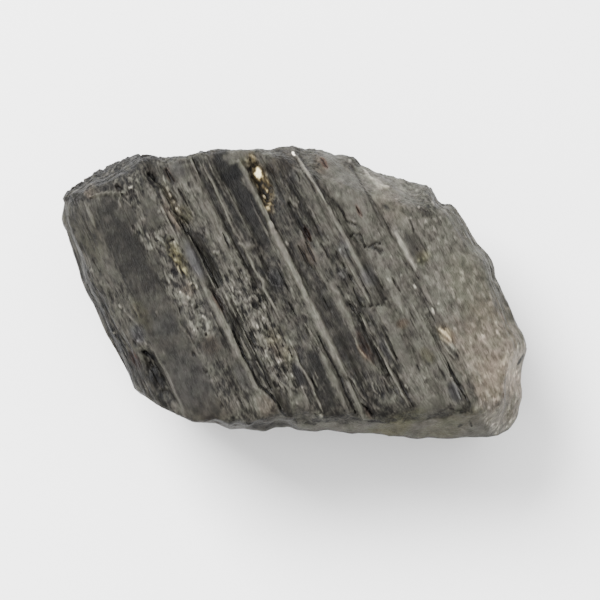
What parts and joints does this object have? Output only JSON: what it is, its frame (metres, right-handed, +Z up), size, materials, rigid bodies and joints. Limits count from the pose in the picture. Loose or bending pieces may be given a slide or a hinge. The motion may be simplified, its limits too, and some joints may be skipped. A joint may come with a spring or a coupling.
{
  "type": "tourmaline crystal",
  "caption": "Broken length of a black tourmaline (schorl) prism: a blocky, rhomb-shaped lump with one wide striated face, cracked and stepped, and rough broken ends.",
  "frame": {"origin": "on the prism face that the crystal lies on, in the middle of its outline", "axes": "+Y along the crystal's long axis, which the striations follow; +X across the striations; +Z up, out of the striated face"},
  "size_m": [0.0494, 0.0551, 0.0221],
  "materials": {
    "schorl": "dark grey to black, striated and satin on the grown faces, duller and rough on the broken ends, with ochre stains"
  },
  "bodies": {
    "root": {"tourmaline_crystal": "schorl"}
  },
  "joints": []
}
